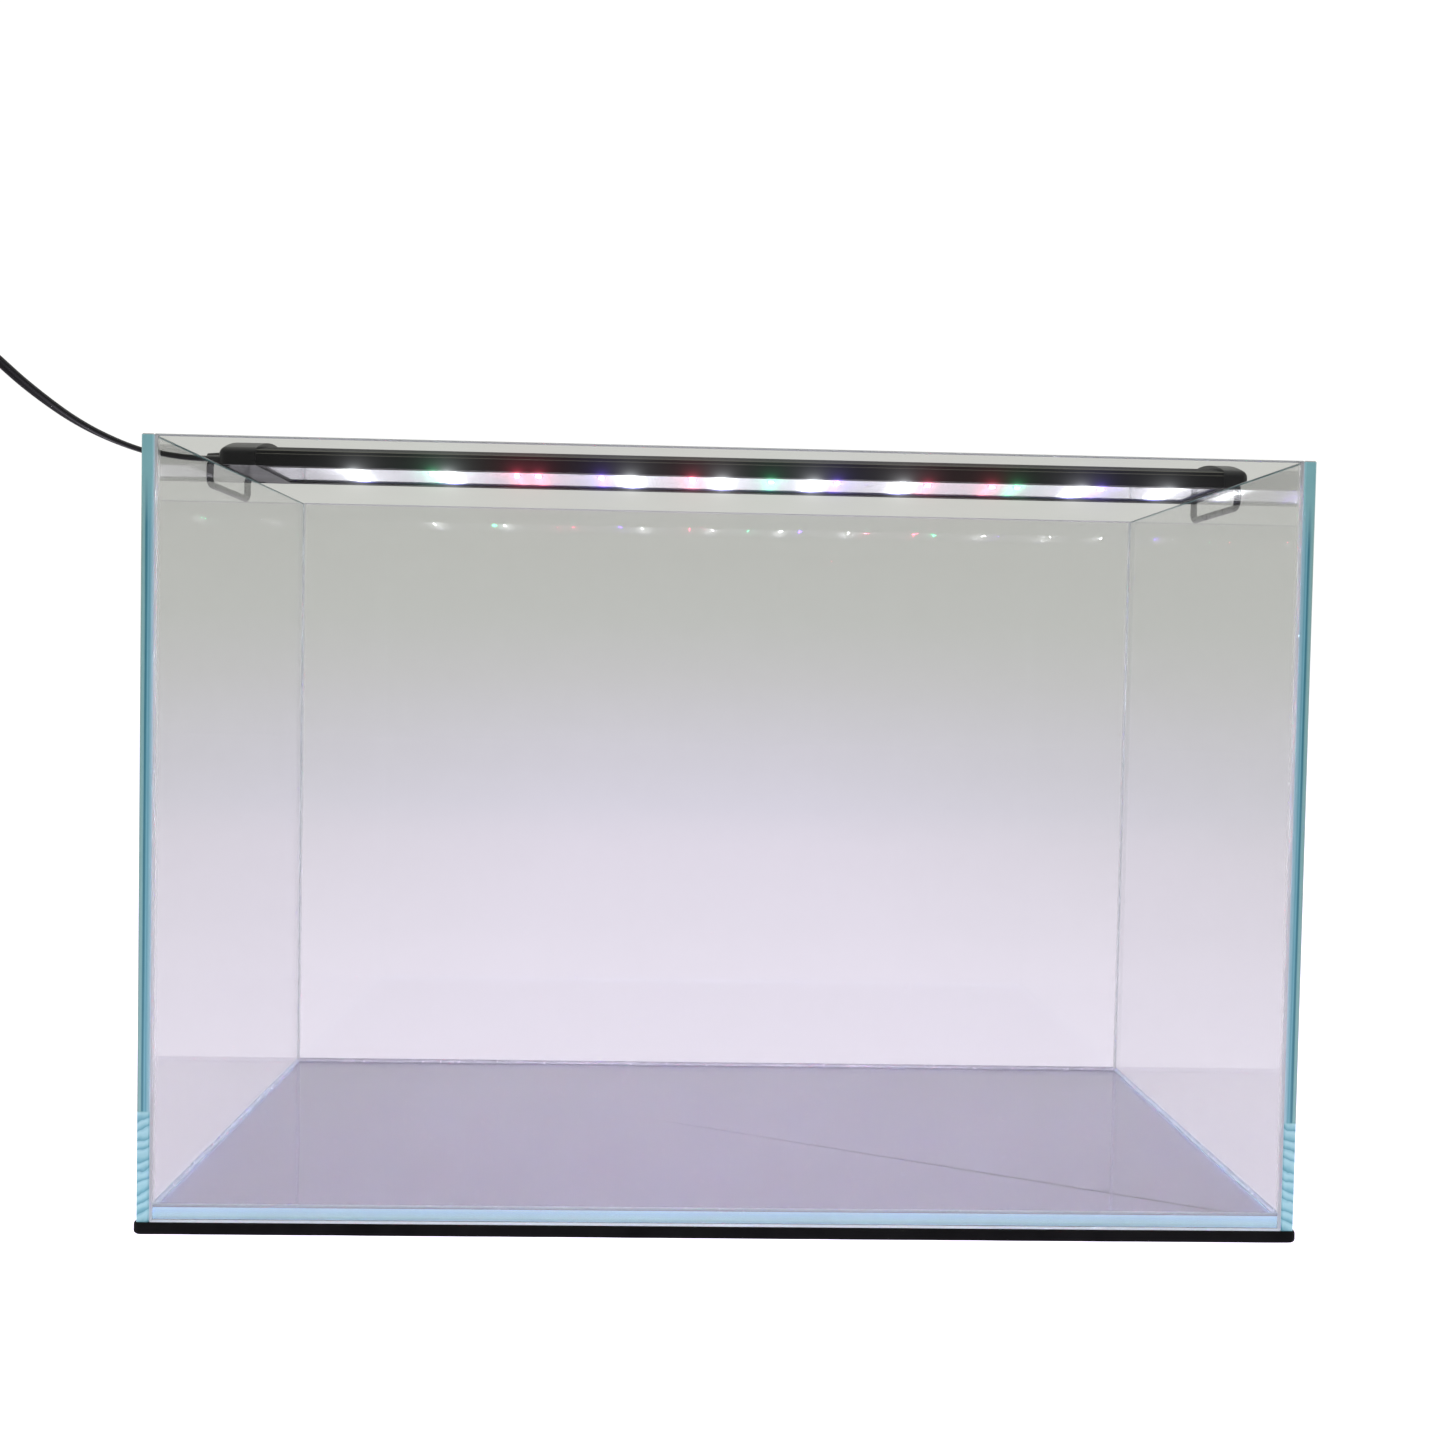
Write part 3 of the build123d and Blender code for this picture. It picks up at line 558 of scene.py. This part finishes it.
for name, mat in {
    "bottom_pane": M_GLASS_FLOOR, "front_pane": M_GLASS_FRONT, "back_pane": M_GLASS,
    "left_pane": M_GLASS_SIDE, "right_pane": M_GLASS_SIDE,
    "light_housing": M_ANOD, "left_end_cap": M_CAP, "right_end_cap": M_CAP, "end_cap_screws": M_SCREW,
    "reflector_tray": M_WHITE, "led_board": M_BOARD,
    "white_leds": M_LW, "red_leds": M_LR, "green_leds": M_LG, "blue_leds": M_LB,
    "board_screws": M_SCREW, "lens_cover": M_LENS, "lens_gasket": M_GASKET, "lead_wires": M_SLEEVE,
    "cord_gland": M_RUBBER,
    "left_wire_bracket": M_WIRE, "right_wire_bracket": M_WIRE,
    "left_rod_collars": M_NYLON, "right_rod_collars": M_NYLON,
    "adapter_boot": M_RUBBER, "adapter_rear_shell": M_ADAPTER, "adapter_front_shell": M_ADAPTER,
    "adapter_blades": M_BLADE, "adapter_board": M_PCB,
}.items():
    paint(name, mat)

# ------------------------------------------------------------------ foam mat and silicone


def mesh_piece(name, bm, mat, smooth=True):
    bmesh.ops.recalc_face_normals(bm, faces=bm.faces)
    me = bpy.data.meshes.new(name)
    bm.to_mesh(me)
    bm.free()
    for f in me.polygons:
        f.use_smooth = smooth
    o = link(bpy.data.objects.new(name, me))
    o.data.materials.append(mat)
    return o


def rounded_outline(hx, hy, r, step, n=8):
    """Points and outward directions round a rectangle with rounded corners."""
    pts = []
    for sx, sy, a0 in ((1, 1, 0), (-1, 1, 90), (-1, -1, 180), (1, -1, 270)):
        cx, cy = sx * (hx - r), sy * (hy - r)
        for i in range(n + 1):
            a = math.radians(a0 + 90 * i / n)
            pts.append((cx + r * math.cos(a), cy + r * math.sin(a), math.cos(a), math.sin(a)))
        nx = {0: (-1, 1), 90: (-1, -1), 180: (1, -1), 270: (1, 1)}[a0]
        ex, ey = nx[0] * (hx - r), nx[1] * (hy - r)
        a = math.radians(a0 + 90)
        x0, y0 = cx + r * math.cos(a), cy + r * math.sin(a)
        x1, y1 = ex + r * math.cos(a), ey + r * math.sin(a)
        k = int(math.hypot(x1 - x0, y1 - y0) / step)
        for i in range(1, k):
            t = i / k
            pts.append((x0 + (x1 - x0) * t, y0 + (y1 - y0) * t, math.cos(a), math.sin(a)))
    return pts


def foam_mat():
    lo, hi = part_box("base_mat")
    outline = rounded_outline(hi[0], hi[1], 0.005, 0.006)
    top = hi[2] - 0.00005
    levels = [(0.0016, 0.0), (0.0007, 0.0002), (0.0002, 0.0007), (0.0, 0.0015), (0.00002, 0.0030), (0.00004, 0.0045),
              (0.0002, 0.0052), (0.0007, 0.00575), (0.0015, top), (0.0060, top)]
    bm = bmesh.new()
    rings = []
    rnd = random.Random(5)
    phases = [rnd.uniform(0, 6.28) for _ in range(6)]
    for inset, z in levels:
        ring = []
        for i, (x, y, nx, ny) in enumerate(outline):
            s_ = i / len(outline) * 2 * math.pi
            # a knife-cut edge is never quite straight
            w = sum(math.sin(s_ * f + ph) for f, ph in zip((5, 11, 19, 31, 47, 71), phases)) * 0.00004 - 0.00012
            d = inset - min(0.0, w)
            ring.append(bm.verts.new((x - nx * d, y - ny * d, z)))
        rings.append(ring)
    k = len(outline)
    for a_, b_ in zip(rings, rings[1:]):
        for j in range(k):
            bm.faces.new((a_[j], a_[(j + 1) % k], b_[(j + 1) % k], b_[j]))
    bm.faces.new(list(reversed(rings[0])))
    bm.faces.new(rings[-1])
    o = mesh_piece("foam_mat", bm, M_FOAM)
    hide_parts("base_mat")
    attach(o, "tank")
    return o


foam_mat()


def corner_silicone():
    """A hollow bead down each inner corner, and the thin joint between the panes outside it."""
    bm = bmesh.new()
    rnd = random.Random(11)
    z0, z1 = 0.0126, 0.4072
    n = 90
    for sx in (1, -1):
        for sy in (1, -1):
            ph = [rnd.uniform(0, 6.28) for _ in range(4)]
            rings = []
            for i in range(n + 1):
                t = i / n
                z = z0 + (z1 - z0) * t
                leg = 0.0017 + 0.00014 * math.sin(t * 23 + ph[0]) + 0.0001 * math.sin(t * 61 + ph[1])
                leg2 = 0.0016 + 0.00014 * math.sin(t * 19 + ph[2]) + 0.0001 * math.sin(t * 53 + ph[3])
                if i in (0, n):
                    leg, leg2 = leg * 0.8, leg2 * 0.8
                prof = [(0.0, 0.0), (leg, 0.0), (leg * 0.62, leg2 * 0.13), (leg * 0.34, leg2 * 0.34),
                        (leg * 0.13, leg2 * 0.62), (0.0, leg2)]
                rings.append([bm.verts.new((sx * (0.29362 - a_), sy * (0.14362 - b_), z)) for a_, b_ in prof])
            k = len(rings[0])
            for a_, b_ in zip(rings, rings[1:]):
                for j in range(k):
                    bm.faces.new((a_[j], a_[(j + 1) % k], b_[(j + 1) % k], b_[j]))
            bm.faces.new(list(reversed(rings[0])))
            bm.faces.new(rings[-1])
            lip = []
            first = len(bm.faces)
            for z in (0.0064, 0.4073):
                # the joint between the pane's end and the side pane, struck off hollow at the outer face
                lip.append([bm.verts.new((sx * x, sy * y, z)) for x, y in
                            ((0.29318, 0.14369), (0.29362, 0.14369), (0.29362, 0.14950), (0.29351, 0.14925), (0.29329, 0.14925),
                             (0.29318, 0.14945))])
            k = 6
            for j in range(k):
                bm.faces.new((lip[0][j], lip[0][(j + 1) % k], lip[1][(j + 1) % k], lip[1][j]))
            bm.faces.new(list(reversed(lip[0])))
            bm.faces.new(lip[1])
            bm.faces.ensure_lookup_table()
            for f in bm.faces[first:]:
                f.material_index = 1
    o = mesh_piece("corner_silicone", bm, M_SILICONE, smooth=False)
    o.data.materials.append(M_BOND)
    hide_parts("corner_seams")
    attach(o, "tank")
    return o


corner_silicone()


def floor_silicone():
    """The fillet bead where the bottom pane meets the four walls."""
    bm = bmesh.new()
    hx, hy = 0.29362, 0.14362
    outline = []
    for (x0, y0), (x1, y1) in (((hx, -hy), (hx, hy)), ((hx, hy), (-hx, hy)), ((-hx, hy), (-hx, -hy)), ((-hx, -hy), (hx, -hy))):
        k = int(math.hypot(x1 - x0, y1 - y0) / 0.006)
        for i in range(k):
            t = i / k
            outline.append((x0 + (x1 - x0) * t, y0 + (y1 - y0) * t))
    prof = [(0.0, 0.01240), (0.0, 0.01435), (0.00025, 0.0136), (0.0007, 0.01295), (0.0013, 0.01255), (0.0020, 0.01240)]
    rings = []
    rnd = random.Random(3)
    ph = [rnd.uniform(0, 6.28) for _ in range(4)]
    for j, (d, z) in enumerate(prof):
        ring = []
        for i, (x, y) in enumerate(outline):
            t = i / len(outline) * 2 * math.pi
            w = 1 + 0.10 * math.sin(t * 41 + ph[0]) + 0.06 * math.sin(t * 97 + ph[1]) if j in (2, 3, 4, 5) else 1
            dd = d * w
            ring.append(bm.verts.new((math.copysign(max(0.0, min(abs(x), hx - dd)), x), math.copysign(min(abs(y), hy - dd), y), z)))
        rings.append(ring)
    k, m_ = len(outline), len(prof)
    for j in range(m_):
        a_, b_ = rings[j], rings[(j + 1) % m_]
        for i in range(k):
            bm.faces.new((a_[i], a_[(i + 1) % k], b_[(i + 1) % k], b_[i]))
    o = mesh_piece("floor_silicone", bm, M_BEAD)
    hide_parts("floor_seam")
    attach(o, "tank")
    return o


floor_silicone()

# ------------------------------------------------------------------ cord
MM = 0.001
ROUTE = [
    (-305.0, -28.0, 412.9), (-326.0, -28.0, 412.9), (-351.0, -29.6, 418.6), (-378.0, -35.5, 430.5),
    (-402.0, -45.0, 448.5), (-417.5, -52.0, 463.5), (-430.4, -57.4, 475.8), (-443.4, -61.4, 481.2),
    (-457.4, -64.8, 481.2), (-470.4, -68.2, 476.0), (-480.5, -71.6, 466.3), (-486.2, -75.0, 453.5),
    (-487.4, -79.9, 428.0), (-487.7, -88.4, 381.0), (-487.0, -101.0, 306.0), (-485.8, -114.8, 230.0),
    (-484.6, -127.6, 156.0), (-483.5, -137.6, 100.0), (-482.6, -145.0, 60.0), (-482.2, -149.2, 37.3),
    (-482.0, -147.3, 25.6), (-482.0, -141.4, 15.1), (-482.0, -132.2, 7.4), (-482.0, -121.0, 3.4),
    (-482.0, -110.0, 3.2),
]
CX, CY = -450.0, -82.0
# turns of the coil: 2 beside each other and 2 high, seen from above the cord runs clockwise
LAYERS = [(34.9, 3.1), (29.0, 3.1), (29.2, 8.9), (34.8, 9.0)]
coil_pts = []
PER = 14
total_turns = 4.0
steps = int(PER * total_turns)


def layer_at(f):
    """Radius and height after f turns, changing over the last part of each turn."""
    k = min(int(f), len(LAYERS) - 1)
    r0, z0 = LAYERS[k]
    if k + 1 >= len(LAYERS):
        return r0, z0
    u = f - k
    r1, z1 = LAYERS[k + 1]
    w = max(0.0, (u - 0.72) / 0.28)
    w = w * w * (3 - 2 * w)
    return r0 + (r1 - r0) * w, z0 + (z1 - z0) * w


for i in range(2, steps):
    f = i / PER
    r, z = layer_at(f)
    a = math.pi - 2 * math.pi * f
    k = 1.0 / math.cos(math.pi / PER) * 0.995      # control points stand outside the turn
    coil_pts.append((CX + r * k * math.cos(a), CY + r * k * math.sin(a), z))
TAIL = [(-484.6, -84.0, 9.0), (-483.6, -72.0, 8.6), (-482.3, -62.0, 7.2), (-482.0, -51.5, 6.8)]
POINTS = ROUTE + [(-483.5, -99.0, 3.1), (-484.9, -84.0, 3.1)] + coil_pts + TAIL


def nurbs_line(points, res=8):
    """Points along one open NURBS of the route's own control points."""
    cu = bpy.data.curves.new("route", "CURVE")
    cu.dimensions = "3D"
    cu.resolution_u = res
    sp = cu.splines.new("NURBS")
    sp.points.add(len(points) - 1)
    for q, pt in zip(sp.points, points):
        q.co = (pt[0] * MM, pt[1] * MM, pt[2] * MM, 1)
    sp.order_u = 3
    sp.use_endpoint_u = True
    o = bpy.data.objects.new("route", cu)
    me = bpy.data.meshes.new_from_object(o)
    line = [v.co.copy() for v in me.vertices]
    bpy.data.objects.remove(o)
    bpy.data.curves.remove(cu)
    bpy.data.meshes.remove(me)
    return line


def resample(line, step):
    out = [line[0].copy()]
    need = step
    for a, b in zip(line, line[1:]):
        seg = (b - a).length
        at = 0.0
        while seg - at >= need:
            at += need
            out.append(a.lerp(b, at / seg))
            need = step
        need -= seg - at
    if (out[-1] - line[-1]).length > step * 0.3:
        out.append(line[-1].copy())
    else:
        out[-1] = line[-1].copy()
    return out


CORD_W, CORD_T = 0.0058, 0.0031


def twin_profile(w, t, n=10):
    """Two round cores side by side with a shallow groove between them."""
    r = t / 2
    c = w / 2 - r
    pts = []
    for i in range(n + 1):
        a = -math.pi * 0.42 + (math.pi * 0.84) * i / n
        pts.append((c + r * math.cos(a), r * math.sin(a)))
    pts.append((c * 0.45, r * 0.93))
    pts.append((0.0, r * 0.70))
    pts.append((-c * 0.45, r * 0.93))
    for i in range(n + 1):
        a = math.pi * 0.58 + (math.pi * 0.84) * i / n
        pts.append((-c + r * math.cos(a), r * math.sin(a)))
    pts.append((-c * 0.45, -r * 0.93))
    pts.append((0.0, -r * 0.70))
    pts.append((c * 0.45, -r * 0.93))
    return pts


def sweep_mesh(name, line, profile, first_side, twist_at):
    """The profile carried along the line without spinning, plus the twist asked for."""
    bm = bmesh.new()
    n = len(line)
    tang = []
    for i in range(n):
        a = line[max(i - 1, 0)]
        b = line[min(i + 1, n - 1)]
        tang.append((b - a).normalized())
    side = (first_side - tang[0] * first_side.dot(tang[0])).normalized()
    rings = []
    s = 0.0
    for i in range(n):
        if i:
            s += (line[i] - line[i - 1]).length
            axis = tang[i - 1].cross(tang[i])
            if axis.length > 1e-9:
                ang = tang[i - 1].angle(tang[i])
                side = Matrix.Rotation(ang, 3, axis.normalized()) @ side
            side = (side - tang[i] * side.dot(tang[i])).normalized()
        tw = Matrix.Rotation(twist_at(s), 3, tang[i])
        u = tw @ side
        w = tang[i].cross(u)
        rings.append([bm.verts.new(line[i] + u * x + w * y) for x, y in profile])
    k = len(profile)
    for a, b in zip(rings, rings[1:]):
        for j in range(k):
            bm.faces.new((a[j], a[(j + 1) % k], b[(j + 1) % k], b[j]))
    bm.faces.new(list(reversed(rings[0])))
    bm.faces.new(rings[-1])
    bmesh.ops.recalc_face_normals(bm, faces=bm.faces)
    me = bpy.data.meshes.new(name)
    bm.to_mesh(me)
    bm.free()
    for f in me.polygons:
        f.use_smooth = True
    return bpy.data.objects.new(name, me)


line = resample(nurbs_line(POINTS, 10), 0.003)
cord_len = sum((b - a).length for a, b in zip(line, line[1:]))
print("cord length", cord_len)


def smooth(a, b, x):
    t = min(1.0, max(0.0, (x - a) / (b - a)))
    return t * t * (3 - 2 * t)


def twist(s):
    # lies flat out of the gland, then turns its wide side to the front on the way up
    return math.radians(84) * smooth(0.030, 0.145, s) - math.radians(84) * smooth(0.40, 0.66, s)


cord = link(sweep_mesh("power_cord", line, twin_profile(CORD_W, CORD_T), Vector((0, 1, 0)), twist))
cord.data.materials.append(M_CORD)
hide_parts("cord_lamp_stretch", "cord_floor_stretch", "cord_coil")
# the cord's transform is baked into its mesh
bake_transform(cord)
paint("coil_tie", M_NYLON)

# ------------------------------------------------------------------ stage
BACK, nt, out = new_mat("backdrop")
p = principled(nt, out, Base_Color=(0.04, 0.04, 0.04, 1), Roughness=1.0)
p.inputs["Specular IOR Level"].default_value = 0.0
tc = nt.nodes.new("ShaderNodeTexCoord")
sp = nt.nodes.new("ShaderNodeSeparateXYZ")
nt.links.new(tc.outputs["Object"], sp.inputs[0])
# painted light: a lavender glow low on the backdrop and floor behind the tank, fading with height and to the sides,
# stands in for the bar's light on it
height = maprange(nt, sp.outputs["Z"], 0.0, 0.8, 0.0, 1.0)
painted_backdrop_glow = ramp(nt, height, [(0.0, (0.46, 0.35, 0.64)), (0.07, (0.35, 0.28, 0.55)), (0.20, (0.29, 0.235, 0.44)),
                          (0.36, (0.15, 0.12, 0.21)), (0.52, (0.045, 0.045, 0.065)), (0.70, (0.0, 0.0, 0.0)),
                          (1.0, (0.0, 0.0, 0.0))])
side = maprange(nt, math_node(nt, "ABSOLUTE", sp.outputs["X"]), 0.2, 1.1, 1.0, 0.62)
painted_backdrop_glow = mix_col(nt, 1.0, painted_backdrop_glow, side, "MULTIPLY")
lit = mix_col(nt, 1.0, (1.0, 1.003, 0.985), painted_backdrop_glow, "ADD")
nt.links.new(lit, p.inputs["Emission Color"])
# painted shade: for all but camera rays the floor and backdrop go darker towards the front and in a band at 0.74 m
# height, so the glass reflects and shows darkness there
near = math_node(nt, "MULTIPLY", maprange(nt, sp.outputs["Y"], -0.42, -1.1, 1.0, 0.45),
                 maprange(nt, sp.outputs["Y"], -1.0, -4.0, 1.0, 0.22))
near = math_node(nt, "MULTIPLY", near, maprange(nt, math_node(nt, "ABSOLUTE", math_node(nt, "SUBTRACT", sp.outputs["Z"], 0.74)),
                                                0.06, 0.16, 0.955, 1.0))
ray = nt.nodes.new("ShaderNodeLightPath")
near = math_node(nt, "MAXIMUM", near, ray.outputs["Is Camera Ray"])
nt.links.new(near, p.inputs["Emission Strength"])


def stage_sweep():
    bm = bmesh.new()
    prof = [(-6.0, -0.0005), (-1.0, -0.0005), (0.5, -0.0005)]
    y0, r = 1.5, 0.8
    for i in range(25):
        a = math.pi / 2 * i / 24
        prof.append((y0 + r * math.sin(a), -0.0005 + r * (1 - math.cos(a))))
    prof.append((y0 + r, 5.0))
    rows = []
    for x in (-7.0, 7.0):
        rows.append([bm.verts.new((x, y, z)) for y, z in prof])
    for j in range(len(prof) - 1):
        bm.faces.new((rows[0][j], rows[1][j], rows[1][j + 1], rows[0][j + 1]))
    me = bpy.data.meshes.new("floor")
    bm.to_mesh(me)
    bm.free()
    for f in me.polygons:
        f.use_smooth = True
    o = link(bpy.data.objects.new("floor", me))
    o.data.materials.append(BACK)


stage_sweep()

world = bpy.data.worlds.new("world")
scene.world = world
world.use_nodes = True
wn = world.node_tree
bg = wn.nodes["Background"]
wtc = wn.nodes.new("ShaderNodeTexCoord")
wsp = wn.nodes.new("ShaderNodeSeparateXYZ")
wn.links.new(wtc.outputs["Generated"], wsp.inputs[0])
level = maprange(wn, wsp.outputs["Y"], -0.92, -0.5, 0.16, 1.0)
bg.inputs[0].default_value = (1.0, 1.0, 1.0, 1)
ray = wn.nodes.new("ShaderNodeLightPath")
level = math_node(wn, "MAXIMUM", level, ray.outputs["Is Camera Ray"])
wn.links.new(level, bg.inputs[1])


def area(name, loc, target, size, power, colour=(1, 1, 1)):
    ld = bpy.data.lights.new(name, "AREA")
    ld.shape = "RECTANGLE"
    ld.size, ld.size_y = size
    ld.energy = power
    ld.color = colour
    o = link(bpy.data.objects.new(name, ld))
    o.location = loc
    d = Vector(target) - Vector(loc)
    o.rotation_euler = d.to_track_quat("-Z", "Y").to_euler()
    return o


area("top_soft", (0.0, 0.0, 2.4), (0, 0.1, 0), (2.6, 2.2), 22.0)
area("front_fill", (0.4, -1.9, 2.3), (0, 0, 0.2), (2.0, 1.2), 9.0)
# what the lit bar throws down into the tank
up_lamp = area("bar_bounce", (0.0, 0.0, 0.400), (0, 0, 0.5), (0.53, 0.05), 1.15, (0.93, 0.91, 1.0))
glow_lamp = area("bar_glow", (0.0, 0.0, 0.404), (0, 0, 0), (0.50, 0.05), 2.0, (0.84, 0.75, 1.0))
for o in (glow_lamp, up_lamp):
    o.visible_camera = False
    o.visible_glossy = False
    o.visible_transmission = False

# ------------------------------------------------------------------ lens bloom round the lit LEDs
scene.use_nodes = True
ct = scene.node_tree
ct.nodes.clear()
rl = ct.nodes.new("CompositorNodeRLayers")
gl = ct.nodes.new("CompositorNodeGlare")
co = ct.nodes.new("CompositorNodeComposite")
gl.glare_type = "BLOOM"
gl.quality = "HIGH"
gl.inputs["Threshold"].default_value = 2.0
gl.inputs["Size"].default_value = 0.30
gl.inputs["Strength"].default_value = 1.0
ct.links.new(rl.outputs["Image"], gl.inputs["Image"])
ct.links.new(gl.outputs["Image"], co.inputs["Image"])
